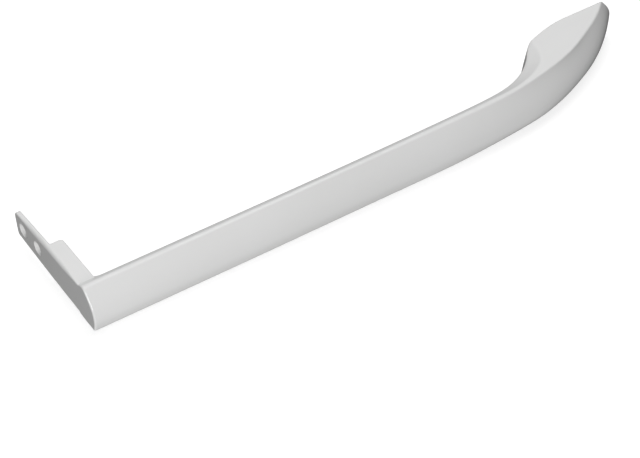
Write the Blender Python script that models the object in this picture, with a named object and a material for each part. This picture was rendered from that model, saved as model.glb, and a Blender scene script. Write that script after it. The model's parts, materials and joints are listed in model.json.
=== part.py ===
"""A refrigerator door handle, moulded in one piece.

X runs along the bar from the screwed end to the leaf, Y points at the door,
and Z is across the bar. The door's front is the plane Y = 0. The lug's outer
face, the arm and the end of the bar share the plane X = 0, and the screw heads
sink into it. The lug's inner face laps the door's end. The handle lies on its
low side, and the high side carries a shallow relief for the fingers.
"""

import math

import bmesh
import bpy
import numpy as np
from mathutils import Matrix, Vector
from mathutils.geometry import interpolate_bezier

MM = 0.001

# Bar and leaf
WIDTH = 23.6 * MM
REACH = 332.2 * MM  # end face to where the tip's edges meet the door
FRONT_DEPTH_HIGH = 40.3 * MM  # door to the front edge, on the high side
FRONT_DEPTH_LOW = 45.9 * MM
GRIP_GAP_HIGH = 33.7 * MM  # door to the back of the bar
GRIP_GAP_LOW = 32.7 * MM
CROWN = 4.7 * MM  # how far the front swells between its two edges
CROWN_TIP = 4.2 * MM
CROWN_LEAN = 0.8  # the leaf's crown leans to the low side by this share
LEAN_FROM = 200.0 * MM
LEAN_FULL = 290.0 * MM
LEAN_OVER = 335.0 * MM  # the tip is even again
TIP_FROM = 310.0 * MM  # where the crown starts to fall to the tip's
LEAF_SEAT = 24.6 * MM  # flat that the leaf lays on the door
TIP_HEADING = 48.0  # degrees between the tip's front and the door

# Knots of the four long edges: distance back from the tip, share of the
# edge's depth, and heading towards the door in degrees
FRONT_KNOTS_HIGH = (
    (116.6 * MM, 0.978, 0.4),
    (69.6 * MM, 0.883, 12.7),
    (31.6 * MM, 0.565, 30.0),
)
FRONT_KNOTS_LOW = (
    (181.6 * MM, 0.987, 0.6),
    (76.6 * MM, 0.901, 7.4),
    (31.6 * MM, 0.530, 26.0),
)
BACK_KNOTS_HIGH = (
    (110.2 * MM, 0.970, 1.5),
    (80.2 * MM, 0.847, 19.7),
    (59.1 * MM, 0.436, 48.0),
    (50.9 * MM, 0.187, 20.0),
)
BACK_KNOTS_LOW = (
    (117.2 * MM, 0.933, 1.5),
    (84.2 * MM, 0.835, 15.0),
    (64.2 * MM, 0.410, 50.0),
    (56.2 * MM, 0.174, 26.0),
)

# Edges
FRONT_EDGE = 0.8 * MM
FRONT_EDGE_LEAF_LOW = 5.0 * MM  # the low front edge softens on the leaf
SOFTEN_FROM = 200.0 * MM
SOFTEN_TO = 270.0 * MM
BACK_EDGE = 1.2 * MM
SIDE_TAPER = 0.12  # share of the high side's width lost between front edge and door
TIP_EDGE = 0.4 * MM
END_EDGE = 1.0 * MM
LAND = 0.6 * MM  # flat left beside a front edge

# Finger relief: a slanted face along the back of the high side
RELIEF_SLOPE = 0.48
RELIEF_SOFTNESS = 1.6 * MM
RELIEF_WIDTH_NECK = 9.0 * MM
RELIEF_WIDENS = 101.7 * MM  # distances back from the tip
RELIEF_WIDEST = 63.7 * MM
RELIEF_ENDS = 45.7 * MM

# Draft of the low side beside the arm
DRAFT_SLOPE = 0.1
DRAFT_LENGTH = 110.0 * MM

# Arm and lug
ARM_THICKNESS = 9.3 * MM
ARM_WIDTH_HIGH = 9.8 * MM  # from mid-width to the high side, at the bar
ARM_WIDTH_DOOR = 18.8 * MM  # at the step that sits on the door
ARM_FILLET = 3.0 * MM
ARM_EDGE = 0.6 * MM
LUG_SIDE_EDGE = 1.9 * MM  # rounding between the outer face and the high side
LUG_LENGTH = 34.4 * MM
LUG_THICKNESS = 2.7 * MM
LUG_TIP_WIDTH = 14.8 * MM
LUG_CORNER = 2.0 * MM
LUG_FILLET = 1.2 * MM
STEP_CORNER = 1.6 * MM

# Screw holes
HOLE_PITCH = 16.0 * MM
HOLE_FROM_DOOR = 11.0 * MM
HOLE_DIAMETER = 4.2 * MM
COUNTERSINK_DIAMETER = 7.8 * MM
COUNTERSINK_DEPTH = 1.7 * MM
PILOT_DIAMETER = 3.4 * MM  # blind hole in the leaf's seat
PILOT_DEPTH = 9.0 * MM

# Construction
HALF = WIDTH / 2
OVERLAP = 2.0 * MM  # how far a joined or cutting shape runs past a face
RUN_ON = 15.0 * MM  # how far the long edges run past both ends
ARM_SINK = 2.5 * MM  # how far the arm's root rises into the bar
ROOT_CLEAR = 0.02 * MM
FILLET_DIP = 0.15 * MM  # how far the fillet's foot is buried in the arm
FILLET_TURN = 80.0  # degrees of the fillet that lie outside the arm
TIP_FLAT = 6.0 * MM  # seat beside the tip that needs no points
FLATTEST = 1e-6
THINNEST = 0.03 * MM
SEGMENTS = 40  # round a hole
SHARP_ANGLE = 35.0
ROUND_TO = 8  # decimal places of a metre
WELD = 0.001 * MM

# Where the points of an outline lie, as shares of its front and of its back
FRONT_SHARES = np.concatenate([np.linspace(0, 0.55, 9)[:-1], np.linspace(0.55, 1, 44)])
BACK_SHARES = np.concatenate([
    np.linspace(0, 0.09, 3),
    np.linspace(0.09, 0.38, 36)[1:],
    np.linspace(0.38, 1, 10)[1:],
])

# Heights of the outlines above the low side and below the high side
ABOVE_LOW = np.array([0.0, 0.08, 0.3, 0.65, 1.1, 1.7, 2.5, 3.6, 5.0, 6.8, 9.0]) * MM
BELOW_HIGH = np.array([
    0.0, 0.06, 0.22, 0.5, 0.85, 1.3, 1.8, 2.3, 2.8, 3.3, 3.8, 4.4, 5.4, 7.0, 9.2
]) * MM


def smooth(x, start, end):
    """0 before start, 1 after end, eased between."""
    share = np.clip((x - start) / (end - start), 0.0, 1.0)
    return share * share * (3 - 2 * share)


def direction(heading):
    return Vector((math.cos(math.radians(heading)), math.sin(math.radians(heading))))


def smooth_path(knots, steps):
    """Points on a smooth line through knots of (x, y, heading in degrees)."""
    points = []
    for (x0, y0, heading0), (x1, y1, heading1) in zip(knots, knots[1:]):
        turn = math.radians(heading1 - heading0)
        handle = math.hypot(x1 - x0, y1 - y0) / (3 * math.cos(turn / 4) ** 2)
        start, end = Vector((x0, y0)), Vector((x1, y1))
        leave = start + handle * direction(heading0)
        arrive = end - handle * direction(heading1)
        piece = interpolate_bezier(start, leave, arrive, end, steps)
        points.extend(piece if not points else piece[1:])
    return np.array([(p.x, p.y) for p in points])


def front_rail(depth, knots):
    """Front edge on one side, run on past the end face and past the door."""
    path = [(0.0, -depth, 0.0)]
    path += [(REACH - back, -share * depth, heading) for back, share, heading in knots]
    path.append((REACH, 0.0, TIP_HEADING))
    points = smooth_path(path, 24)
    past_tip = points[-1] + RUN_ON * np.array(direction(TIP_HEADING))
    return np.vstack([points[0] - (RUN_ON, 0), points, past_tip])


def back_rail(gap, knots):
    """Back edge on one side: bar, neck, then the leaf's seat on the door."""
    path = [(0.0, -gap, 0.0)]
    path += [(REACH - back, -share * gap, heading) for back, share, heading in knots]
    path.append((REACH - LEAF_SEAT, 0.0, 0.0))
    return np.vstack([smooth_path(path, 16), (REACH + RUN_ON, 0.0)])


def normals(points):
    """Unit normals of a line of points, to the right of its direction."""
    ahead = np.gradient(points, axis=0)
    ahead /= np.linalg.norm(ahead, axis=1)[:, None]
    return np.column_stack([ahead[:, 1], -ahead[:, 0]])


def lengths(points):
    """How far along the line each of its points is."""
    steps = np.linalg.norm(np.diff(points, axis=0), axis=1)
    return np.concatenate([[0.0], np.cumsum(steps)])


def resample(points, shares, trim_start=0.0, trim_end=0.0):
    """Points at shares of the line's length, less what is trimmed off its ends."""
    along = lengths(points)
    wanted = trim_start + shares * (along[-1] - trim_start - trim_end)
    return np.column_stack([np.interp(wanted, along, points[:, i]) for i in (0, 1)])


def cut_at(points, axis, value):
    """The line up to where its coordinate first passes value."""
    past = int(np.argmax(points[:, axis] >= value))
    start, end = points[past - 1], points[past]
    share = (value - start[axis]) / (end[axis] - start[axis])
    return np.vstack([points[:past], start + share * (end - start)])


def rounded_corner(before, corner, after, radius, steps):
    """An arc that rounds the corner, and how much of each side it takes."""
    to_before = (before - corner) / np.linalg.norm(before - corner)
    to_after = (after - corner) / np.linalg.norm(after - corner)
    half = math.acos(float(np.clip(to_before @ to_after, -1, 1))) / 2
    taken = radius / math.tan(half)
    middle = (to_before + to_after) / np.linalg.norm(to_before + to_after)
    centre = corner + middle * radius / math.sin(half)
    start, end = corner + taken * to_before - centre, corner + taken * to_after - centre
    turn = math.pi - 2 * half
    points = []
    for i in range(steps + 1):
        a = turn * i / steps
        points.append(centre + (math.sin(turn - a) * start + math.sin(a) * end) / math.sin(turn))
    return np.array(points), taken


def edge_inset(z, radius):
    """How far a rounded edge has drawn in at height z."""
    into = np.maximum(abs(z) - (HALF - radius), 0.0)
    return radius - np.sqrt(np.maximum(radius**2 - into**2, 0.0))


def relief_reach(drop):
    """How far from its crease the relief has come when it is drop below the side."""
    soft_drop = RELIEF_SLOPE * RELIEF_SOFTNESS / 2
    if drop < soft_drop:
        return math.sqrt(2 * RELIEF_SOFTNESS * drop / RELIEF_SLOPE)
    return drop / RELIEF_SLOPE + RELIEF_SOFTNESS / 2


def relief_width(x):
    """Width of the relief along the back edge."""
    bar = FRONT_DEPTH_HIGH - GRIP_GAP_HIGH - FRONT_EDGE - LAND
    widen = smooth(x, REACH - RELIEF_WIDENS, REACH - RELIEF_WIDEST)
    end = smooth(x, REACH - RELIEF_WIDEST, REACH - RELIEF_ENDS)
    return (bar + (RELIEF_WIDTH_NECK - bar) * widen) * (1 - end)


def softened(inset):
    """Zero below, the inset above, with the corner between them rounded."""
    corner = BACK_EDGE * 2 / 3
    return (inset + np.sqrt(inset**2 + corner**2)) / 2


def low_limit(x, z):
    """How near to the door the low side reaches at height z, under its draft."""
    slope = DRAFT_SLOPE * np.clip(1 - x / DRAFT_LENGTH, FLATTEST, 1.0)
    return -FRONT_DEPTH_LOW + FRONT_EDGE + LAND + max(z + HALF, THINNEST) / slope


def low_height(y):
    """Height of the low side at the end face, so far from the door."""
    return -HALF + DRAFT_SLOPE * (y + FRONT_DEPTH_LOW - FRONT_EDGE - LAND)


def front_line(z, high, low):
    """Front of the handle at height z, swollen by its crown."""
    across = z / HALF
    rail = low + (1 + across) / 2 * (high - low)
    x = rail[:, 0]
    soften = smooth(x, SOFTEN_FROM, SOFTEN_TO) * (z < 0)
    radius = FRONT_EDGE + (FRONT_EDGE_LEAF_LOW - FRONT_EDGE) * soften
    leaning = smooth(x, LEAN_FROM, LEAN_FULL) * (1 - smooth(x, LEAN_FULL, LEAN_OVER))
    lean = 1 - CROWN_LEAN * across * leaning
    crown = CROWN + (CROWN_TIP - CROWN) * smooth(x, TIP_FROM, LEAN_OVER)
    swell = crown * math.cos(math.pi / 2 * across) * lean - edge_inset(z, radius)
    return rail + normals(rail) * swell[:, None]


def back_line(z, high, low):
    """Back of the handle at height z, from the end face to past the tip."""
    share = min((z + HALF) / (WIDTH - RELIEF_SLOPE * RELIEF_WIDTH_NECK / 2), 1.0)
    rail = low + share * (high - low)
    inset = edge_inset(z, BACK_EDGE)
    if z > 0:
        relief = relief_width(rail[:, 0]) - relief_reach(HALF - z)
        inset = np.maximum(inset, softened(relief))
    else:
        inset = np.maximum(inset, rail[:, 1] - low_limit(rail[:, 0], z))
    return rail + normals(rail) * np.broadcast_to(inset, len(rail))[:, None]


def root_top(z):
    """How far the arm's root rises at height z. The arm hides its flat top."""
    rise = -GRIP_GAP_LOW + ARM_SINK
    if z > 0:
        crease = -FRONT_DEPTH_HIGH + FRONT_EDGE + LAND
        return min(rise, crease + relief_reach(HALF - z))
    return min(rise, float(low_limit(0.0, z)))


def root_line(z, back):
    """The fillet between bar and arm, and how high the root's flat top is."""
    foot = ARM_THICKNESS + ARM_FILLET
    base = float(np.interp(foot, back[:, 0], back[:, 1]))
    top = max(root_top(z), base + ROOT_CLEAR)
    points = []
    for angle in np.radians(np.linspace(0, FILLET_TURN, 7)):
        x = foot - (ARM_FILLET + FILLET_DIP) * math.sin(angle)
        points.append((x, min(base + ARM_FILLET * (1 - math.cos(angle)), top)))
    return np.array(points), top


def front_with_nose(z, rails, root):
    """Rounded end edge, front and rounded tip edge at height z."""
    front = front_line(z, rails["front_high"], rails["front_low"])
    end_x = edge_inset(z, END_EDGE)
    front = cut_at(front, 1, -edge_inset(z, BACK_EDGE))
    front = front[front[:, 0] > end_x]
    entry = np.array([end_x, front[0][1]])
    front = np.vstack([entry, front])
    tip = front[-1]
    on_seat = tip - (TIP_FLAT, 0)
    nose, nose_taken = rounded_corner(root, entry, front[1], END_EDGE, 4)
    lip, lip_taken = rounded_corner(front[-2], tip, on_seat, TIP_EDGE, 5)
    front = resample(front, FRONT_SHARES, nose_taken, lip_taken)[1:-1]
    return nose, front, lip


def outline(z, rails):
    """The closed outline of the handle's body at height z."""
    back = back_line(z, rails["back_high"], rails["back_low"])
    fillet, top = root_line(z, back)
    root = np.array([edge_inset(z, END_EDGE), top])
    nose, front, lip = front_with_nose(z, rails, root)
    heel, _ = rounded_corner(fillet[-1], root, nose[0], END_EDGE, 4)
    clear = fillet[0][0] + END_EDGE / 2
    back = back[(back[:, 0] > clear) & (back[:, 0] < lip[-1][0] - TIP_FLAT)][::-1]
    back = resample(np.vstack([lip[-1], back, fillet[0]]), BACK_SHARES)[1:-1]
    return np.vstack([nose, front, lip, back, fillet, heel])


def heights():
    """Layer heights, close together where an edge or the relief turns."""
    return np.concatenate([-HALF + ABOVE_LOW, [0.0], (HALF - BELOW_HIGH)[::-1]])


def mesh_object(name, mesh_data, collection, helper):
    obj = bpy.data.objects.new(name, mesh_data)
    collection.objects.link(obj)
    if helper:
        obj.hide_render = True
        obj.display_type = "WIRE"
    return obj


def tapered(y, z):
    """Height z after the high side has drawn in towards the door."""
    share = (y + FRONT_DEPTH_HIGH) / FRONT_DEPTH_HIGH
    return z * (1 - SIDE_TAPER * min(max(share, 0.0), 1.0)) if z > 0 else z


def loft(name, rings, collection, helper):
    """A closed solid through rings that have as many points each."""
    mesh = bmesh.new()
    # Rounding puts the points of a flat face on exactly one plane.
    rings = [[mesh.verts.new(point) for point in np.round(ring, ROUND_TO)] for ring in rings]
    for below, above in zip(rings, rings[1:]):
        for i in range(len(below)):
            j = (i + 1) % len(below)
            mesh.faces.new((below[i], below[j], above[j], above[i]))
    mesh.faces.new(rings[0][::-1])
    mesh.faces.new(rings[-1])
    bmesh.ops.remove_doubles(mesh, verts=mesh.verts, dist=WELD)
    bmesh.ops.recalc_face_normals(mesh, faces=mesh.faces)
    bmesh.ops.triangulate(mesh, faces=mesh.faces)
    bmesh.ops.dissolve_degenerate(mesh, dist=WELD, edges=mesh.edges)
    data = bpy.data.meshes.new(name)
    mesh.to_mesh(data)
    mesh.free()
    return mesh_object(name, data, collection, helper)


def make_body(collection):
    """Bar, neck and leaf, lofted through outlines stacked across the width."""
    rails = {
        "front_high": front_rail(FRONT_DEPTH_HIGH, FRONT_KNOTS_HIGH),
        "front_low": front_rail(FRONT_DEPTH_LOW, FRONT_KNOTS_LOW),
        "back_high": back_rail(GRIP_GAP_HIGH, BACK_KNOTS_HIGH),
        "back_low": back_rail(GRIP_GAP_LOW, BACK_KNOTS_LOW),
    }
    rings = []
    for z in heights():
        rings.append([(x, y, tapered(y, z)) for x, y in outline(z, rails)])
    return loft("door_handle", rings, collection, False)


def rounded_section(y, x_end, z_low, z_high, outer_edge):
    """A level ring of the arm: a rectangle in X and Z with four rounded corners."""
    corners = (
        (0.0, z_low, 1, 1, ARM_EDGE, 180),
        (x_end, z_low, -1, 1, ARM_EDGE, 270),
        (x_end, z_high, -1, -1, ARM_EDGE, 0),
        (0.0, z_high, 1, -1, outer_edge, 90),
    )
    ring = []
    for x, z, to_x, to_z, radius, first in corners:
        for angle in np.radians(np.linspace(first, first + 90, 6)):
            ring.append((
                x + radius * (to_x + math.cos(angle)),
                y,
                z + radius * (to_z + math.sin(angle)),
            ))
    return ring


def arm_sides(y):
    """Heights of the arm's low and high side, so far from the door."""
    stations = (-GRIP_GAP_HIGH, 0.0, LUG_LENGTH)
    at_root = low_height(-GRIP_GAP_LOW + ARM_SINK - FILLET_DIP)
    low = np.interp(y, stations, (at_root, -ARM_WIDTH_DOOR / 2, -LUG_TIP_WIDTH / 2))
    high = np.interp(y, stations, (ARM_WIDTH_HIGH, ARM_WIDTH_DOOR / 2, LUG_TIP_WIDTH / 2))
    over = max(y - (LUG_LENGTH - LUG_CORNER), 0.0)
    narrowed = LUG_CORNER - math.sqrt(max(LUG_CORNER**2 - over**2, 0.0))
    return low + narrowed, high - narrowed


def arm_steps():
    """Down the inner side of the arm: how far from the door, and how thick."""
    sunk = -GRIP_GAP_LOW - OVERLAP
    steps = [(y, ARM_THICKNESS) for y in np.linspace(sunk, -STEP_CORNER, 12)]
    for angle in np.radians(np.linspace(15, 90, 6)):
        steps.append((
            -STEP_CORNER * (1 - math.sin(angle)),
            ARM_THICKNESS - STEP_CORNER * (1 - math.cos(angle)),
        ))
    for angle in np.radians(np.linspace(0, 90, 6)):
        steps.append((
            LUG_FILLET * (1 - math.cos(angle)),
            LUG_THICKNESS + LUG_FILLET * (1 - math.sin(angle)),
        ))
    straight = np.linspace(LUG_FILLET, LUG_LENGTH - LUG_CORNER, 10)[1:]
    steps += [(y, LUG_THICKNESS) for y in straight]
    for angle in np.radians(np.linspace(15, 90, 6)):
        steps.append((LUG_LENGTH - LUG_CORNER * (1 - math.sin(angle)), LUG_THICKNESS))
    return steps


def outer_edge(y):
    """Rounding of the arm's outer high edge: widest between the bar and the lug."""
    grow = smooth(y, -GRIP_GAP_HIGH, -GRIP_GAP_HIGH / 2)
    fade = smooth(y, LUG_LENGTH / 3, LUG_LENGTH)
    return ARM_EDGE + (LUG_SIDE_EDGE - ARM_EDGE) * grow * (1 - fade)


def make_arm(collection):
    """Arm and lug, lofted from inside the bar to the lug's tip."""
    rings = []
    for y, thickness in arm_steps():
        low, high = arm_sides(y)
        rings.append(rounded_section(y, thickness, low, high, outer_edge(y)))
    return loft("arm_blank", rings, collection, True)


def boolean(obj, other, operation):
    modifier = obj.modifiers.new(other.name, "BOOLEAN")
    modifier.operation = operation
    modifier.solver = "EXACT"
    modifier.object = other


def cone(name, radius_start, radius_end, depth, matrix, collection):
    """A round cutter along the matrix's Z, its two radii at the two ends."""
    data = bpy.data.meshes.new(name)
    mesh = bmesh.new()
    bmesh.ops.create_cone(
        mesh,
        cap_ends=True,
        segments=SEGMENTS,
        radius1=radius_start,
        radius2=radius_end,
        depth=depth,
    )
    mesh.to_mesh(data)
    mesh.free()
    cutter = mesh_object(name, data, collection, True)
    cutter.matrix_world = matrix
    return cutter


def screw_hole_cutters(collection):
    """Countersunk holes through the lug, sunk from the outer face."""
    along_x = Matrix.Rotation(math.radians(90), 4, "Y")
    depth = LUG_THICKNESS + 2 * OVERLAP
    slope = (COUNTERSINK_DIAMETER - HOLE_DIAMETER) / 2 / COUNTERSINK_DEPTH
    run = COUNTERSINK_DEPTH + OVERLAP
    mouth = COUNTERSINK_DIAMETER / 2 + slope * OVERLAP
    throat = HOLE_DIAMETER / 2
    cutters = []
    for i in range(2):
        y = HOLE_FROM_DOOR + i * HOLE_PITCH
        through = Matrix.Translation((LUG_THICKNESS / 2, y, 0)) @ along_x
        sink = Matrix.Translation((COUNTERSINK_DEPTH - run / 2, y, 0)) @ along_x
        cutters.append(cone(f"hole_{i + 1}", throat, throat, depth, through, collection))
        cutters.append(cone(f"countersink_{i + 1}", mouth, throat, run, sink, collection))
    return cutters


def pilot_cutter(collection):
    """A blind hole in the leaf's seat, for a screw from inside the door."""
    along_y = Matrix.Rotation(math.radians(-90), 4, "X")
    middle = ((REACH - LEAF_SEAT / 2), (OVERLAP - PILOT_DEPTH) / 2, 0)
    radius = PILOT_DIAMETER / 2
    matrix = Matrix.Translation(middle) @ along_y
    return cone("pilot", radius, radius, PILOT_DEPTH + OVERLAP, matrix, collection)


def white_plastic():
    material = bpy.data.materials.new("gloss_white_plastic")
    material.use_nodes = True
    shader = material.node_tree.nodes["Principled BSDF"]
    shader.inputs["Base Color"].default_value = (0.80, 0.80, 0.80, 1)
    shader.inputs["Roughness"].default_value = 0.18
    shader.inputs["Metallic"].default_value = 0.0
    return material


def new_collection(name, helper):
    collection = bpy.data.collections.new(name)
    bpy.context.scene.collection.children.link(collection)
    collection.hide_render = helper
    return collection


def main():
    for obj in list(bpy.data.objects):
        bpy.data.objects.remove(obj)
    parts = new_collection("refrigerator_door_handle", False)
    cutters = new_collection("cutters", True)
    handle = make_body(parts)
    boolean(handle, make_arm(cutters), "UNION")
    for cutter in screw_hole_cutters(cutters) + [pilot_cutter(cutters)]:
        boolean(handle, cutter, "DIFFERENCE")
    handle.data.materials.append(white_plastic())
    handle.data.shade_smooth()
    handle.data.set_sharp_from_angle(angle=math.radians(SHARP_ANGLE))


main()
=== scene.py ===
# %% [markdown]
# # A white refrigerator door handle
# The handle is one plastic moulding: a straight bar for the fingers, a swept
# leaf that lies on the door at one end, and at the other end an arm with a thin
# lug that is screwed to the edge of the door. This lesson rebuilds its skin
# finely enough for a glossy picture, then gives it its plastic, a floor, soft
# light and a camera. Blender works in metres. The handle's sizes are written in
# millimetres and multiplied by MM, and what stands around it is in metres.

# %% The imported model
import json
import math

import bmesh
import bpy
import numpy as np
from mathutils import Euler, Matrix, Vector
from mathutils.geometry import interpolate_bezier

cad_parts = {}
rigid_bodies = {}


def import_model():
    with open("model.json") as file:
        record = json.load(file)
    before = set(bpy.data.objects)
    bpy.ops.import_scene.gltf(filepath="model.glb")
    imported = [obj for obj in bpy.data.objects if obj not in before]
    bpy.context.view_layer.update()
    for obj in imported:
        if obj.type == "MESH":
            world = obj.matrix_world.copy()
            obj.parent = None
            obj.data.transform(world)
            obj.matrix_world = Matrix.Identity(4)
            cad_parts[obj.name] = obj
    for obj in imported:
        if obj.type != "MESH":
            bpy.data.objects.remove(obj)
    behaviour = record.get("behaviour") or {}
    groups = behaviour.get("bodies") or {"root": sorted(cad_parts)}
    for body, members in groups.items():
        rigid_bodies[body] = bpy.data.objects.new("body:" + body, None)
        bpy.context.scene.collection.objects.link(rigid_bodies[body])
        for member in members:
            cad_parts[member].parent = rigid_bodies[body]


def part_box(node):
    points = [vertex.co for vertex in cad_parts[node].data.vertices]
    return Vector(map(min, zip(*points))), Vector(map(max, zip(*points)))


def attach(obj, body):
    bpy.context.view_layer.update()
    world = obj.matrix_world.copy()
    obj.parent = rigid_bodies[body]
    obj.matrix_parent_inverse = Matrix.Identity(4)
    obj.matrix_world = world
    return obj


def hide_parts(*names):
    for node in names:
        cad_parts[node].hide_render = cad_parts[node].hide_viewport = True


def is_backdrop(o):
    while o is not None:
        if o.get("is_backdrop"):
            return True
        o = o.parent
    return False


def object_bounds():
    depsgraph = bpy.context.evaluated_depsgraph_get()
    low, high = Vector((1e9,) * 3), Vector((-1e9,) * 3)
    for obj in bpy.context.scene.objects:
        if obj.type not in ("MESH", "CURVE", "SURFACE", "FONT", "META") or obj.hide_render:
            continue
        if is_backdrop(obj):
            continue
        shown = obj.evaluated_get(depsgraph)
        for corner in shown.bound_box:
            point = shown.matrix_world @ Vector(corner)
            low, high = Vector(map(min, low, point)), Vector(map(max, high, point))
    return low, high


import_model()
packed_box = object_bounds()
MM = 0.001
low_corner, high_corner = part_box("door_handle")


def in_mm(length):
    return round(float(length) / MM, 1)


print("packed handle, mm:", [in_mm(b - a) for a, b in zip(low_corner, high_corner)])

# %% [markdown]
# ## Frame and main sizes
# X runs along the bar from the screwed end to the leaf, Y points at the door,
# and Z is across the bar. The door's front is the plane Y = 0. The handle lies
# on its low side. Every size is named once, so that a change to the bar
# carries the leaf, the relief and the arm with it.

# %% Sizes
WIDTH = 23.6 * MM
HALF = WIDTH / 2
REACH = 332.2 * MM  # end face to where the tip's edges meet the door
FRONT_DEPTH_HIGH = 40.3 * MM  # door to the front edge, on the high side
FRONT_DEPTH_LOW = 45.9 * MM
GRIP_GAP_HIGH = 33.7 * MM  # door to the back of the bar
GRIP_GAP_LOW = 32.7 * MM
LEAF_SEAT = 24.6 * MM  # flat that the leaf lays on the door
FRONT_EDGE = 0.8 * MM  # radii of the rounded edges
BACK_EDGE = 1.2 * MM
END_EDGE = 1.0 * MM
TIP_EDGE = 0.4 * MM
LAND = 0.6 * MM  # flat left beside a front edge
print("bar", in_mm(WIDTH), "mm wide, reaching", in_mm(REACH), "mm")

# %% [markdown]
# ## The four long edges
# Seen from above, the handle is drawn by four long curves: a front edge and a
# back edge on each side. A drawing office would lay each one down through a few
# stations and let a spline run between them, and so does this step. A station
# says how far it is from the tip, how deep the edge is there as a share of the
# bar's depth, and which way the curve heads. One Bezier piece joins each pair.
# A traced outline would need hundreds of points and would show every wobble.

# %% Stations
# Millimetres from the tip, share of the depth, heading in degrees.
FRONT_HIGH = ((116.6, 0.978, 0.4), (69.6, 0.883, 12.7), (31.6, 0.565, 30.0))
FRONT_LOW = ((181.6, 0.987, 0.6), (76.6, 0.901, 7.4), (31.6, 0.530, 26.0))
BACK_HIGH = ((110.2, 0.970, 1.5), (80.2, 0.847, 19.7), (59.1, 0.436, 48.0), (50.9, 0.187, 20.0))
BACK_LOW = ((117.2, 0.933, 1.5), (84.2, 0.835, 15.0), (64.2, 0.410, 50.0), (56.2, 0.174, 26.0))
TIP_HEADING = 48.0  # degrees between the tip's front and the door


def stations_of(depth, table):
    rows = [(REACH - back * MM, -share * depth, heading) for back, share, heading in table]
    return [(0.0, -depth, 0.0)] + rows


for x, y, heading in stations_of(FRONT_DEPTH_HIGH, FRONT_HIGH):
    print("high front edge at", in_mm(x), in_mm(y), "mm, heading", heading)

# %% [markdown]
# ## Splines through the stations
# The two handles of each Bezier piece are as long as they would be on a circle
# of the same turn, so a calm piece comes out nearly as an arc. Neighbours share
# a station and its heading and meet without a kink, which a gloss surface would
# show at once. The front rails run on past the tip, where they are cut later.

# %% Rails
RUN_ON = 15.0 * MM  # how far a rail runs on past an end of the handle
FRONT_POINTS, BACK_POINTS = 80, 60  # on each Bezier piece


def direction(heading):
    return Vector((math.cos(math.radians(heading)), math.sin(math.radians(heading))))


def smooth_path(stations, count):
    """Points on a smooth line through stations of (x, y, heading in degrees)."""
    points = []
    for (x0, y0, heading0), (x1, y1, heading1) in zip(stations, stations[1:]):
        turn = math.radians(heading1 - heading0)
        # On a circle of the same turn a handle is exactly this long.
        handle = math.hypot(x1 - x0, y1 - y0) / (3 * math.cos(turn / 4) ** 2)
        start, end = Vector((x0, y0)), Vector((x1, y1))
        leave = start + handle * direction(heading0)
        arrive = end - handle * direction(heading1)
        piece = interpolate_bezier(start, leave, arrive, end, count)
        points.extend(piece if not points else piece[1:])
    return np.array([(p.x, p.y) for p in points])


def front_rail(depth, table):
    stations = stations_of(depth, table) + [(REACH, 0.0, TIP_HEADING)]
    points = smooth_path(stations, FRONT_POINTS)
    past_tip = points[-1] + RUN_ON * np.array(direction(TIP_HEADING))
    return np.vstack([points[0] - (RUN_ON, 0), points, past_tip])


def back_rail(gap, table):
    stations = stations_of(gap, table) + [(REACH - LEAF_SEAT, 0.0, 0.0)]
    points = smooth_path(stations, BACK_POINTS)
    return np.vstack([points, (REACH + RUN_ON, 0.0)])


rails = {
    "front_high": front_rail(FRONT_DEPTH_HIGH, FRONT_HIGH),
    "front_low": front_rail(FRONT_DEPTH_LOW, FRONT_LOW),
    "back_high": back_rail(GRIP_GAP_HIGH, BACK_HIGH),
    "back_low": back_rail(GRIP_GAP_LOW, BACK_LOW),
}
print("points on each rail:", {name: len(rail) for name, rail in rails.items()})

# %% [markdown]
# ## Swelling front
# Between its two edges the front of the bar swells in a shallow arch, so it
# feels round in the hand. On the leaf the arch leans to the low side, and the
# low edge, crisp along the bar, grows soft. Each height across the bar gets its
# own front line: a blend of the two rails, pushed outwards by the arch.

# %% Front
CROWN = 4.7 * MM  # height of the arch
CROWN_TIP = 4.2 * MM
CROWN_LEAN = 0.8  # share that the arch gains at the low edge and loses at the high one
# Places are measured from the end face.
LEAN_FROM, LEAN_FULL, LEAN_OVER = 200.0 * MM, 290.0 * MM, 335.0 * MM
TIP_FROM = 310.0 * MM
FRONT_EDGE_LEAF_LOW = 5.0 * MM
SOFTEN_FROM, SOFTEN_TO = 200.0 * MM, 270.0 * MM


def smooth(x, start, end):
    """0 before start, 1 after end, eased between."""
    share = np.clip((x - start) / (end - start), 0.0, 1.0)
    return share * share * (3 - 2 * share)


def normals(points):
    """Unit normals of a line of points, to the right of its direction."""
    ahead = np.gradient(points, axis=0)
    ahead /= np.linalg.norm(ahead, axis=1)[:, None]
    return np.column_stack([ahead[:, 1], -ahead[:, 0]])


def edge_inset(z, radius):
    """How far a rounded edge has drawn in at height z."""
    into = np.maximum(abs(z) - (HALF - radius), 0.0)
    return radius - np.sqrt(np.maximum(radius**2 - into**2, 0.0))


def front_line(z):
    across = z / HALF
    rail = rails["front_low"] + (1 + across) / 2 * (rails["front_high"] - rails["front_low"])
    x = rail[:, 0]
    soften = smooth(x, SOFTEN_FROM, SOFTEN_TO) * (z < 0)
    radius = FRONT_EDGE + (FRONT_EDGE_LEAF_LOW - FRONT_EDGE) * soften
    leaning = smooth(x, LEAN_FROM, LEAN_FULL) * (1 - smooth(x, LEAN_FULL, LEAN_OVER))
    lean = 1 - CROWN_LEAN * across * leaning
    crown = CROWN + (CROWN_TIP - CROWN) * smooth(x, TIP_FROM, LEAN_OVER)
    swell = crown * math.cos(math.pi / 2 * across) * lean - edge_inset(z, radius)
    return rail + normals(rail) * swell[:, None]


print("front reaches out to", in_mm(-front_line(0.0)[:, 1].min()), "mm from the door")

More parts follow.
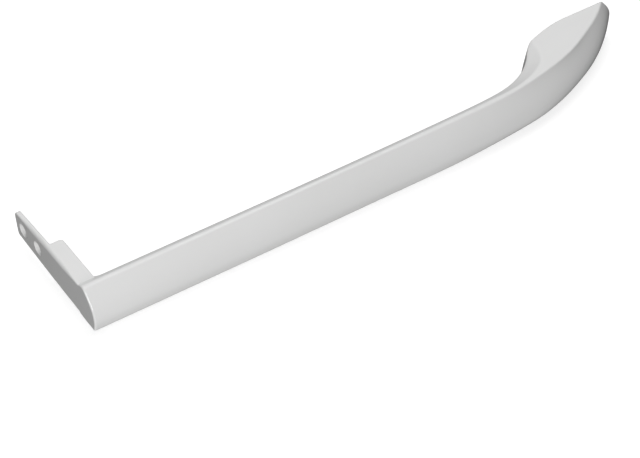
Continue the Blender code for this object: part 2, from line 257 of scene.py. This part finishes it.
# %% [markdown]
# ## Finger relief
# Along the back of the high side the moulding is cut away by a slanted face. It
# is a narrow strip on the bar, widens in the neck where the fingertips reach
# round, and runs out on the leaf. A Boolean could cut it off, but it would leave
# slivers where the face runs out. Here the relief is a width and a slope, which
# the next step takes off the back line at each height.

# %% Relief
RELIEF_SLOPE = 0.48  # drop below the high side per width
RELIEF_SOFTNESS = 1.6 * MM  # stretch over which its crease is eased
RELIEF_WIDTH_NECK = 9.0 * MM
RELIEF_WIDENS, RELIEF_WIDEST, RELIEF_ENDS = 101.7 * MM, 63.7 * MM, 45.7 * MM  # from the tip


def relief_reach(drop):
    """How far from its crease the relief has come when it is drop below the side."""
    soft_drop = RELIEF_SLOPE * RELIEF_SOFTNESS / 2
    if drop < soft_drop:
        return math.sqrt(2 * RELIEF_SOFTNESS * drop / RELIEF_SLOPE)
    return drop / RELIEF_SLOPE + RELIEF_SOFTNESS / 2


def relief_width(x):
    bar = FRONT_DEPTH_HIGH - GRIP_GAP_HIGH - FRONT_EDGE - LAND
    widen = smooth(x, REACH - RELIEF_WIDENS, REACH - RELIEF_WIDEST)
    end = smooth(x, REACH - RELIEF_WIDEST, REACH - RELIEF_ENDS)
    return (bar + (RELIEF_WIDTH_NECK - bar) * widen) * (1 - end)


for name, x in (("bar", REACH / 2), ("neck", REACH - RELIEF_WIDEST)):
    print("relief on the", name, in_mm(relief_width(x)), "mm wide")

# %% [markdown]
# ## Draft and back
# The low side has draft beside the arm, the slight slope that lets a moulding
# leave its mould. Like the relief and the rounded edges it is an inset of the
# back line that depends on the height. Where two of them meet, the larger one
# counts, and so they join along clean lines.

# %% Back
DRAFT_SLOPE = 0.1
DRAFT_LENGTH = 110.0 * MM
THINNEST = 0.03 * MM  # least height over the low side that counts
FLATTEST = 1e-6  # keeps the slope from zero where the draft has ended
RELIEF_CORNER = BACK_EDGE * 2 / 3  # eases the relief into the back


def low_limit(x, z):
    """How near to the door the low side reaches at height z, under its draft."""
    slope = DRAFT_SLOPE * np.clip(1 - x / DRAFT_LENGTH, FLATTEST, 1.0)
    return -FRONT_DEPTH_LOW + FRONT_EDGE + LAND + max(z + HALF, THINNEST) / slope


def back_line(z):
    share = min((z + HALF) / (WIDTH - RELIEF_SLOPE * RELIEF_WIDTH_NECK / 2), 1.0)
    rail = rails["back_low"] + share * (rails["back_high"] - rails["back_low"])
    inset = edge_inset(z, BACK_EDGE)
    if z > 0:
        relief = relief_width(rail[:, 0]) - relief_reach(HALF - z)
        inset = np.maximum(inset, (relief + np.sqrt(relief**2 + RELIEF_CORNER**2)) / 2)
    else:
        inset = np.maximum(inset, rail[:, 1] - low_limit(rail[:, 0], z))
    return rail + normals(rail) * np.broadcast_to(inset, len(rail))[:, None]


print("bar", in_mm(back_line(0.0)[0, 1] - front_line(0.0)[0, 1]), "mm thick in its middle")

# %% [markdown]
# ## Points and corners
# The outlines are joined point by point later, so all of them must carry the
# same number of points in the same order. Each line is therefore cut at fixed
# shares of its length, closely where it turns and widely where it runs straight.
# Its corners become small arcs, as in a real mould, because an edge without any
# round would catch no line of light.

# %% Spread and corners
def spread(*stretches):
    """Shares of a line's length, from stretches of (where each ends, its gaps)."""
    values, start = [0.0], 0.0
    for end, gaps in stretches:
        values.extend(np.linspace(start, end, gaps + 1)[1:])
        start = end
    return np.array(values)


FRONT_SHARES = spread((0.55, 24), (1.0, 129))  # the straight bar, then the sweep to the tip
BACK_SHARES = spread((0.09, 6), (0.38, 105), (1.0, 27))  # the seat, the neck, the bar


def resample(points, shares, trim_start=0.0, trim_end=0.0):
    """Points at shares of the line's length, less what is trimmed off its ends."""
    steps = np.linalg.norm(np.diff(points, axis=0), axis=1)
    along = np.concatenate([[0.0], np.cumsum(steps)])
    wanted = trim_start + shares * (along[-1] - trim_start - trim_end)
    return np.column_stack([np.interp(wanted, along, points[:, i]) for i in (0, 1)])


def cut_at(points, axis, value):
    """The line up to where its coordinate first passes value."""
    past = int(np.argmax(points[:, axis] >= value))
    start, end = points[past - 1], points[past]
    share = (value - start[axis]) / (end[axis] - start[axis])
    return np.vstack([points[:past], start + share * (end - start)])


def rounded_corner(before, corner, after, radius, steps):
    """An arc that rounds the corner, and how much of each side it takes."""
    to_before = (before - corner) / np.linalg.norm(before - corner)
    to_after = (after - corner) / np.linalg.norm(after - corner)
    half = math.acos(float(np.clip(to_before @ to_after, -1, 1))) / 2
    taken = radius / math.tan(half)
    middle = (to_before + to_after) / np.linalg.norm(to_before + to_after)
    centre = corner + middle * radius / math.sin(half)
    start, end = corner + taken * to_before - centre, corner + taken * to_after - centre
    turn = math.pi - 2 * half
    points = []
    for i in range(steps + 1):
        # Blended in this way, every spoke keeps the length of the radius.
        a = turn * i / steps
        spoke = (math.sin(turn - a) * start + math.sin(a) * end) / math.sin(turn)
        points.append(centre + spoke)
    return np.array(points), taken


print("points along the front:", len(FRONT_SHARES), "and along the back:", len(BACK_SHARES))

# %% [markdown]
# ## One closed outline per height
# A front line and a back line become one closed outline, with rounded corners
# at the end face and the tip, and a fillet where the arm grows out of the bar.
# The arm itself is a blank of its own. Its fillet belongs to the outline,
# because there it follows the back at every height.

# %% Outline
ARM_THICKNESS = 9.3 * MM
ARM_FILLET = 3.0 * MM
ROOT_HEIGHT = 2.5 * MM  # how far the arm's root stands out from the bar's back
FILLET_DIP = 0.15 * MM  # lets the fillet end inside the arm
FILLET_TURN = 80.0  # degrees of a quarter circle that the fillet takes
FILLET_POINTS = 16
CORNER_STEPS, HEEL_STEPS = 10, 8
ROOT_CLEAR = 0.02 * MM  # least height of the root over the back
TIP_FLAT = 6.0 * MM  # last stretch of the seat, left as one straight line


def root_line(z, back):
    """The fillet between bar and arm, and how high the root's flat top is."""
    foot = ARM_THICKNESS + ARM_FILLET
    base = float(np.interp(foot, back[:, 0], back[:, 1]))
    rise = -GRIP_GAP_LOW + ROOT_HEIGHT
    if z > 0:
        rise = min(rise, -FRONT_DEPTH_HIGH + FRONT_EDGE + LAND + relief_reach(HALF - z))
    else:
        rise = min(rise, float(low_limit(0.0, z)))
    top = max(rise, base + ROOT_CLEAR)
    points = []
    for angle in np.radians(np.linspace(0, FILLET_TURN, FILLET_POINTS)):
        x = foot - (ARM_FILLET + FILLET_DIP) * math.sin(angle)
        points.append((x, min(base + ARM_FILLET * (1 - math.cos(angle)), top)))
    return np.array(points), top


def outline(z):
    """The handle's closed outline at height z, as points of (x, y)."""
    back = back_line(z)
    fillet, top = root_line(z, back)
    end_x = edge_inset(z, END_EDGE)
    root = np.array([end_x, top])
    front = cut_at(front_line(z), axis=1, value=-edge_inset(z, BACK_EDGE))
    front = front[front[:, 0] > end_x]
    front = np.vstack([(end_x, front[0][1]), front])
    tip = front[-1]
    nose, nose_taken = rounded_corner(root, front[0], front[1], END_EDGE, CORNER_STEPS)
    lip, lip_taken = rounded_corner(front[-2], tip, tip - (TIP_FLAT, 0), TIP_EDGE, CORNER_STEPS)
    heel, _ = rounded_corner(fillet[-1], root, nose[0], END_EDGE, HEEL_STEPS)
    front = resample(front, FRONT_SHARES, nose_taken, lip_taken)[1:-1]
    clear = fillet[0][0] + END_EDGE / 2
    back = back[(back[:, 0] > clear) & (back[:, 0] < lip[-1][0] - TIP_FLAT)][::-1]
    back = resample(np.vstack([lip[-1], back, fillet[0]]), BACK_SHARES)[1:-1]
    return np.vstack([nose, front, lip, back, fillet, heel])


print("points in an outline:", len(outline(0.0)))

# %% [markdown]
# ## Skinning a stack of outlines
# Modellers often pull such a form from a subdivided cage. Here rings of points
# are stacked and skinned, as a boat is planked over its frames, so the skin
# keeps exactly to the edges that were drawn. The first and the last ring close
# with a flat face, and points that fall on each other are welded.

# %% Loft
WELD = 0.001 * MM
ROUND_TO = 8  # decimals of a metre


def link_new(name, data):
    obj = bpy.data.objects.new(name, data)
    bpy.context.scene.collection.objects.link(obj)
    return obj


def loft(name, rings):
    """A closed solid skinned over rings that have as many points each."""
    mesh = bmesh.new()
    # Rounding puts the points of a flat face on exactly one plane.
    rings = [[mesh.verts.new(point) for point in np.round(ring, ROUND_TO)] for ring in rings]
    for below, above in zip(rings, rings[1:]):
        for i in range(len(below)):
            j = (i + 1) % len(below)
            mesh.faces.new((below[i], below[j], above[j], above[i]))
    mesh.faces.new(rings[0][::-1])
    mesh.faces.new(rings[-1])
    bmesh.ops.remove_doubles(mesh, verts=mesh.verts, dist=WELD)
    bmesh.ops.recalc_face_normals(mesh, faces=mesh.faces)
    bmesh.ops.triangulate(mesh, faces=mesh.faces)
    bmesh.ops.dissolve_degenerate(mesh, dist=WELD, edges=mesh.edges)
    data = bpy.data.meshes.new(name)
    mesh.to_mesh(data)
    mesh.free()
    return link_new(name, data)


print("points that a loft welds lie within", WELD / MM, "mm")

# %% [markdown]
# ## Bar and leaf
# Bar, neck and leaf are one loft of outlines across the width. The layers lie
# close together near an edge and near the relief, where the surface turns
# quickly, and far apart where it is calm. With even layers it would take more
# than ten times as many to round the same edge. The high side draws in a little
# towards the door.

# %% Body
SIDE_TAPER = 0.12  # share of the half width that is gone at the door
ABOVE_LOW = MM * np.array([0.0, 0.08, 0.3, 0.65, 1.1, 1.7, 2.5, 3.6, 5.0, 6.8, 9.0])
BELOW_HIGH = MM * np.array([
    0.0, 0.06, 0.22, 0.5, 0.85, 1.3, 1.8, 2.3, 2.8, 3.3, 3.8, 4.4, 5.4, 7.0, 9.2
])
FINER_LAYERS = 2


def finer(values, times):
    """The same run of values with every gap cut into so many."""
    places = np.arange(len(values) * times - times + 1) / times
    return np.interp(places, np.arange(len(values)), values)


def tapered(y, z):
    """The height z, drawn in on the high side between the front edge and the door."""
    share = (y + FRONT_DEPTH_HIGH) / FRONT_DEPTH_HIGH
    return z * (1 - SIDE_TAPER * min(max(share, 0.0), 1.0)) if z > 0 else z


layers = finer(np.concatenate([ABOVE_LOW - HALF, [0.0], (HALF - BELOW_HIGH)[::-1]]), FINER_LAYERS)
body = loft("body_blank", [[(x, y, tapered(y, z)) for x, y in outline(z)] for z in layers])
print("body:", len(layers), "layers and", len(body.data.polygons), "triangles")

# %% [markdown]
# ## Section of the arm
# The arm drops from the bar to the door and goes on as a thin lug. Its section
# is a rounded rectangle all the way down, so one small function draws it. The
# width follows the distance from the door, first growing and then shrinking,
# and ends in the lug's rounded tip.

# %% Arm section
ARM_WIDTH_HIGH = 9.8 * MM
ARM_WIDTH_DOOR = 18.8 * MM
ARM_EDGE = 0.6 * MM
LUG_SIDE_EDGE = 1.9 * MM
LUG_LENGTH = 34.4 * MM
LUG_TIP_WIDTH = 14.8 * MM
LUG_CORNER = 2.0 * MM
EDGE_POINTS = 11  # on each rounded edge


def rounded_section(y, x_end, z_low, z_high, outer):
    """A rounded rectangle. Its outer edge on the high side has a radius of its own."""
    # Place of each corner, way inwards, radius, and the angle where its arc begins.
    corners = (
        (0.0, z_low, 1, 1, ARM_EDGE, 180),
        (x_end, z_low, -1, 1, ARM_EDGE, 270),
        (x_end, z_high, -1, -1, ARM_EDGE, 0),
        (0.0, z_high, 1, -1, outer, 90),
    )
    ring = []
    for x, z, to_x, to_z, radius, first in corners:
        for angle in np.radians(np.linspace(first, first + 90, EDGE_POINTS)):
            across = x + radius * (to_x + math.cos(angle))
            ring.append((across, y, z + radius * (to_z + math.sin(angle))))
    return ring


def arm_sides(y):
    """Heights of the arm's low and high side, so far from the door."""
    stations = (-GRIP_GAP_HIGH, 0.0, LUG_LENGTH)
    from_edge = -GRIP_GAP_LOW + ROOT_HEIGHT - FILLET_DIP + FRONT_DEPTH_LOW - FRONT_EDGE - LAND
    root = -HALF + DRAFT_SLOPE * from_edge
    low = np.interp(y, stations, (root, -ARM_WIDTH_DOOR / 2, -LUG_TIP_WIDTH / 2))
    high = np.interp(y, stations, (ARM_WIDTH_HIGH, ARM_WIDTH_DOOR / 2, LUG_TIP_WIDTH / 2))
    over = max(y - (LUG_LENGTH - LUG_CORNER), 0.0)
    narrowed = LUG_CORNER - math.sqrt(max(LUG_CORNER**2 - over**2, 0.0))
    return low + narrowed, high - narrowed


def outer_edge(y):
    """Radius of the outer edge on the high side, which is softest around the step."""
    grow = smooth(y, -GRIP_GAP_HIGH, -GRIP_GAP_HIGH / 2)
    fade = smooth(y, LUG_LENGTH / 3, LUG_LENGTH)
    return ARM_EDGE + (LUG_SIDE_EDGE - ARM_EDGE) * grow * (1 - fade)


for name, y in (("root", -GRIP_GAP_LOW), ("step", 0.0), ("tip", LUG_LENGTH)):
    print("sides of the arm at its", name, [in_mm(side) for side in arm_sides(y)], "mm")

# %% [markdown]
# ## Arm, step and lug
# A step on the arm sits on the door's front, and beyond it only the lug goes
# on, which laps the edge of the door. Two boxes would give the form, but not
# the rounded step between them. The section is carried from inside the bar to
# the lug's tip while its thickness changes, so corner and fillet come with it.

# %% Arm
LUG_THICKNESS = 2.7 * MM
LUG_FILLET = 1.2 * MM
STEP_CORNER = 1.6 * MM
OVERLAP = 2.0 * MM  # how far blanks and cutters reach into or past each other
ARM_LAYERS, LUG_LAYERS = 30, 24
QUARTER_TURN = np.radians(np.linspace(0, 90, 10))


def arm_steps():
    """Down the inner side of the arm: how far from the door, and how thick."""
    sunk = -GRIP_GAP_LOW - OVERLAP
    steps = [(y, ARM_THICKNESS) for y in np.linspace(sunk, -STEP_CORNER, ARM_LAYERS)]
    for a in QUARTER_TURN[1:]:
        steps.append((
            -STEP_CORNER * (1 - math.sin(a)),
            ARM_THICKNESS - STEP_CORNER * (1 - math.cos(a)),
        ))
    for a in QUARTER_TURN:
        steps.append((
            LUG_FILLET * (1 - math.cos(a)),
            LUG_THICKNESS + LUG_FILLET * (1 - math.sin(a)),
        ))
    straight = np.linspace(LUG_FILLET, LUG_LENGTH - LUG_CORNER, LUG_LAYERS)[1:]
    steps += [(y, LUG_THICKNESS) for y in straight]
    for a in QUARTER_TURN[1:]:
        steps.append((LUG_LENGTH - LUG_CORNER * (1 - math.sin(a)), LUG_THICKNESS))
    return steps


sections = [rounded_section(y, x, *arm_sides(y), outer_edge(y)) for y, x in arm_steps()]
arm = loft("arm_blank", sections)
print("arm:", len(sections), "sections and", len(arm.data.polygons), "triangles")

# %% [markdown]
# ## Screw holes
# The two fixing screws sink into the outer face, so each hole is a plain bore
# with a cone at its mouth. A blind pilot hole in the leaf's seat takes a screw
# from inside the door. Round cutters and a Boolean make them true holes, which
# a painted dark spot would not be from the side.

# %% Cutters
HOLE_PITCH = 16.0 * MM
HOLE_FROM_DOOR = 11.0 * MM
HOLE_DIAMETER = 4.2 * MM
COUNTERSINK_DIAMETER = 7.8 * MM
COUNTERSINK_DEPTH = 1.7 * MM
PILOT_DIAMETER = 3.4 * MM
PILOT_DEPTH = 9.0 * MM
ROUND_SEGMENTS = 96


def cone(name, start, end, depth, place):
    """A round cutter. Start and end are the radii of its two ends."""
    mesh = bmesh.new()
    bmesh.ops.create_cone(
        mesh,
        cap_ends=True,
        segments=ROUND_SEGMENTS,
        radius1=start,
        radius2=end,
        depth=depth,
        matrix=place,
    )
    data = bpy.data.meshes.new(name)
    mesh.to_mesh(data)
    mesh.free()
    return link_new(name, data)


def screw_cutters():
    along_x = Matrix.Rotation(math.radians(90), 4, "Y")
    throat = HOLE_DIAMETER / 2
    slope = (COUNTERSINK_DIAMETER / 2 - throat) / COUNTERSINK_DEPTH
    run = COUNTERSINK_DEPTH + OVERLAP
    mouth = COUNTERSINK_DIAMETER / 2 + slope * OVERLAP
    cutters = []
    for y in (HOLE_FROM_DOOR, HOLE_FROM_DOOR + HOLE_PITCH):
        through = Matrix.Translation((LUG_THICKNESS / 2, y, 0)) @ along_x
        sink = Matrix.Translation((COUNTERSINK_DEPTH - run / 2, y, 0)) @ along_x
        cutters.append(cone("hole", throat, throat, LUG_THICKNESS + 2 * OVERLAP, through))
        cutters.append(cone("countersink", mouth, throat, run, sink))
    return cutters


def pilot_cutter():
    along_y = Matrix.Rotation(math.radians(-90), 4, "X")
    middle = Matrix.Translation((REACH - LEAF_SEAT / 2, (OVERLAP - PILOT_DEPTH) / 2, 0))
    radius = PILOT_DIAMETER / 2
    return cone("pilot", radius, radius, PILOT_DEPTH + OVERLAP, middle @ along_y)


cutters = screw_cutters() + [pilot_cutter()]
print("cutters:", [cutter.name for cutter in cutters])

# %% [markdown]
# ## One moulding
# The blanks are joined and bored with exact Booleans, and the result is kept as
# a plain mesh so that the helpers can be thrown away. Edges that turn sharply
# stay sharp, and weighted normals keep the flat faces flat in the reflections,
# which matters on a gloss surface more than the number of faces does.

# %% Joined handle
SHARP_ANGLE = 32.0  # degrees


def work_in(obj, other, operation):
    modifier = obj.modifiers.new(other.name, "BOOLEAN")
    modifier.operation = operation
    modifier.solver = "EXACT"
    modifier.object = other


work_in(body, arm, "UNION")
for cutter in cutters:
    work_in(body, cutter, "DIFFERENCE")
evaluated = body.evaluated_get(bpy.context.evaluated_depsgraph_get())
skin = bpy.data.meshes.new_from_object(evaluated)
skin.name = "handle_skin"
for helper in [body, arm] + cutters:
    bpy.data.objects.remove(helper)
skin.shade_smooth()
skin.set_sharp_from_angle(angle=math.radians(SHARP_ANGLE))
handle = link_new("handle_skin", skin)
weigh = handle.modifiers.new("weighted_normals", "WEIGHTED_NORMAL")
weigh.keep_sharp = True
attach(handle, "root")
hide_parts("door_handle")
print("handle:", len(skin.polygons), "faces")

# %% [markdown]
# ## White moulded plastic
# The real handle is a white plastic with a polished skin. A single flat colour
# with one roughness would look like a drawing of plastic, so colour, gloss and
# the surface each vary a little, in a step of their own. The patterns follow
# the handle's own coordinates, which needs no unwrapping and leaves no seam.

# %% Plastic
PLASTIC_IOR = 1.5
plastic = bpy.data.materials.new("white_gloss_plastic")
plastic.use_nodes = True
nodes, links = plastic.node_tree.nodes, plastic.node_tree.links
shader = nodes["Principled BSDF"]
shader.inputs["IOR"].default_value = PLASTIC_IOR
own_coordinates = nodes.new("ShaderNodeTexCoord")


def patches(per_metre, detail):
    """Soft patches, so many along a metre of the handle."""
    node = nodes.new("ShaderNodeTexNoise")
    node.inputs["Scale"].default_value = per_metre
    node.inputs["Detail"].default_value = detail
    links.new(own_coordinates.outputs["Object"], node.inputs["Vector"])
    return node.outputs["Fac"]


skin.materials.clear()
skin.materials.append(plastic)
print("made", plastic.name)

# %% [markdown]
# ## Colour
# The white is almost neutral, with the least trace of warmth. Two near whites
# lie in patches several centimetres wide, too faint to be seen as spots. A
# painted image would do the same, but would blur when the camera comes close.

# %% Colour
DIMMER, DIMMER_UP_TO = (0.720, 0.720, 0.715, 1), 0.3
LIGHTER, LIGHTER_FROM = (0.742, 0.742, 0.740, 1), 0.7
tint = nodes.new("ShaderNodeValToRGB")
low_stop, high_stop = tint.color_ramp.elements
low_stop.position, low_stop.color = DIMMER_UP_TO, DIMMER
high_stop.position, high_stop.color = LIGHTER_FROM, LIGHTER
links.new(patches(per_metre=14.0, detail=3.0), tint.inputs["Fac"])
links.new(tint.outputs["Color"], shader.inputs["Base Color"])
print("dimmer white", DIMMER[:3], "and lighter white", LIGHTER[:3])

# %% [markdown]
# ## Gloss
# The mould was polished, so the skin mirrors a lamp with a nearly sharp edge.
# Handling dulls it a little from place to place. That shows in small patches of
# more and less roughness, and not as scratches, which a newer handle lacks.

# %% Gloss
ROUGHNESS_LEAST, ROUGHNESS_MOST = 0.07, 0.13
gloss = nodes.new("ShaderNodeMapRange")
gloss.inputs["To Min"].default_value = ROUGHNESS_LEAST
gloss.inputs["To Max"].default_value = ROUGHNESS_MOST
links.new(patches(per_metre=220.0, detail=4.0), gloss.inputs["Value"])
links.new(gloss.outputs["Result"], shader.inputs["Roughness"])
print("roughness:", ROUGHNESS_LEAST, "to", ROUGHNESS_MOST)

# %% [markdown]
# ## Wave of the mould
# Even a polished mould leaves a very slight wave, which shows only as a soft
# bend in the highlights. It is far too shallow to be modelled, so one wide and
# weak bump carries it.

# %% Wave
WAVE_STRENGTH = 0.03
WAVE_HEIGHT = 0.4 * MM
wave = nodes.new("ShaderNodeBump")
wave.inputs["Strength"].default_value = WAVE_STRENGTH
wave.inputs["Distance"].default_value = WAVE_HEIGHT
links.new(patches(per_metre=60.0, detail=1.0), wave.inputs["Height"])
links.new(wave.outputs["Normal"], shader.inputs["Normal"])
print("plastic:", len(nodes), "nodes")

# %% [markdown]
# ## Floor
# The handle lies on its flat low side on a seamless pale sheet. The sheet gives
# off some light of its own, as a lit table does, so that it stays pale and the
# shadow under the handle stays faint. A photographer keeps the edges of a white
# product from melting into white paper with black cards. Here the sheet is kept
# out of what the handle mirrors and of the light that it gets from below, and
# the glow of the room, further on, stands for the table instead.

# %% Floor
FLOOR_SIZE = 6.0
PAPER_GREY = 0.5
PAPER_ROUGHNESS = 0.9
PAPER_GLOW = 0.66
NEUTRAL = (1, 1, 1, 1)
paper = bpy.data.materials.new("pale_floor")
paper.use_nodes = True
paper_shader = paper.node_tree.nodes["Principled BSDF"]
paper_shader.inputs["Base Color"].default_value = (PAPER_GREY, PAPER_GREY, PAPER_GREY, 1)
paper_shader.inputs["Roughness"].default_value = PAPER_ROUGHNESS
paper_shader.inputs["Emission Color"].default_value = NEUTRAL
paper_shader.inputs["Emission Strength"].default_value = PAPER_GLOW

sheet = bmesh.new()
bmesh.ops.create_grid(sheet, x_segments=2, y_segments=2, size=FLOOR_SIZE / 2)
floor_mesh = bpy.data.meshes.new("floor")
sheet.to_mesh(floor_mesh)
sheet.free()
floor_mesh.materials.append(paper)
floor = link_new("floor", floor_mesh)
floor.location.z = low_corner[2]
floor.visible_glossy = False
floor.visible_diffuse = False
floor.visible_shadow = False
floor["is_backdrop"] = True
print("floor at z =", in_mm(floor.location.z), "mm")

# %% [markdown]
# ## Soft light
# A white product is lit from large soft boxes. The main one stands at the front
# left, so the bar's front is bright and the leaf grows darker as it turns away
# to the right. A weak one hangs overhead, a little behind the handle. It adds
# little light, but the rounded edges mirror it as the bright lines that tell
# the eye how glossy and how round they are. A small lamp under the lit table
# fills the handle's back, of which a narrow strip shows beside the neck and
# would be nearly black. The sheet casts no shadow, so this lamp shines through
# it. It is kept out of the reflections, because a lit table shows no lamp.

# %% Light
MIDDLE = (0.17, -0.02, 0.0)  # what every lamp faces, half way along the bar


def soft_box(name, place, size, watts):
    light = bpy.data.lights.new(name, "AREA")
    light.shape = "RECTANGLE"
    light.size, light.size_y = size
    light.energy = watts
    lamp = link_new(name, light)
    lamp.location = place
    lamp.rotation_euler = (Vector(MIDDLE) - Vector(place)).to_track_quat("-Z", "Y").to_euler()
    print(name, watts, "W")
    return lamp


soft_box("overhead_box", place=(0.42, 0.22, 1.25), size=(0.9, 0.35), watts=2.5)
soft_box("left_box", place=(-0.65, -1.2, 0.4), size=(0.8, 0.8), watts=18.3)
under_table = soft_box("under_table_box", place=(0.04, 0.35, -0.2), size=(0.3, 0.3), watts=0.9)
under_table.visible_glossy = False

# %% [markdown]
# ## Glow of the room
# The room gives wide light of its own. The ceiling above and behind fills the
# side that faces up, and the lit table fills the front from below, so that it
# darkens only a little downwards. Each glow is strongest towards one side and
# fades from there, which stays softer than a picture of a real room with its
# windows. Left and right stay dark, and that draws the darker outlines. The
# Standard view shows these brightnesses as they are, with whites kept white.

# %% Room
CEILING_SIDE, CEILING_GLOW = (0.4, 0.7, 1.0), 1.79
TABLE_SIDE, TABLE_GLOW = (-0.12, -1.0, -1.2), 0.66
GLOW_FADE = 3.0  # the higher, the narrower a glow
room = bpy.data.worlds.new("room")
room.use_nodes = True
sky, wires = room.node_tree.nodes, room.node_tree.links
heading = sky.new("ShaderNodeTexCoord")


def calculate(operation, first, second):
    node = sky.new("ShaderNodeMath")
    node.operation = operation
    for socket, value in zip(node.inputs, (first, second)):
        if isinstance(value, float):
            socket.default_value = value
        else:
            wires.new(value, socket)
    return node.outputs["Value"]


def glow(towards, strength):
    """Light that is strongest towards one side of the room and fades from there."""
    facing = sky.new("ShaderNodeVectorMath")
    facing.operation = "DOT_PRODUCT"
    facing.inputs[1].default_value = Vector(towards).normalized()
    wires.new(heading.outputs["Generated"], facing.inputs[0])
    part = calculate("MAXIMUM", facing.outputs["Value"], 0.0)
    return calculate("MULTIPLY", calculate("POWER", part, GLOW_FADE), strength)


around = calculate("ADD", glow(CEILING_SIDE, CEILING_GLOW), glow(TABLE_SIDE, TABLE_GLOW))
background = sky["Background"]
background.inputs["Color"].default_value = NEUTRAL
wires.new(around, background.inputs["Strength"])
bpy.context.scene.world = room
bpy.context.scene.view_settings.view_transform = "Standard"
print("room:", len(sky), "nodes")

# %% [markdown]
# ## Camera
# The camera stands to the left of the screwed end, in front and above, and
# looks along the handle to the right. Its long lens keeps the bar's two edges
# nearly parallel in the picture. Place, turn and lens belong together: a
# shorter lens from nearer by would fill the picture too, but the screwed end
# would look much larger than the leaf.

# %% Camera
SENSOR_WIDTH, FOCAL_LENGTH = 36.0, 129.461  # Blender takes both in millimetres
NEAREST = 0.05  # nothing nearer to the camera is drawn
CAMERA_PLACE = (-282.39 * MM, -797.08 * MM, 733.70 * MM)
CAMERA_TURN = (48.79693, 3.72711, -31.76919)  # degrees
lens = bpy.data.cameras.new("camera")
lens.sensor_width = SENSOR_WIDTH
lens.lens = FOCAL_LENGTH
lens.clip_start = NEAREST
camera = link_new("camera", lens)
camera.location = CAMERA_PLACE
camera.rotation_euler = Euler([math.radians(a) for a in CAMERA_TURN])
bpy.context.scene.camera = camera
print("camera is", round(camera.location.length, 2), "m from the screwed end")

# %% [markdown]
# ## Size
# The dressed model is meant to keep the imported model's size, so both boxes are
# printed side by side.

# %% Size
boxes = {"cad": packed_box, "visual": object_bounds()}
boxes = {name: [[float(v) for v in corner] for corner in box] for name, box in boxes.items()}
print("sizes, mm:", {n: [in_mm(b - a) for a, b in zip(*box)] for n, box in boxes.items()})
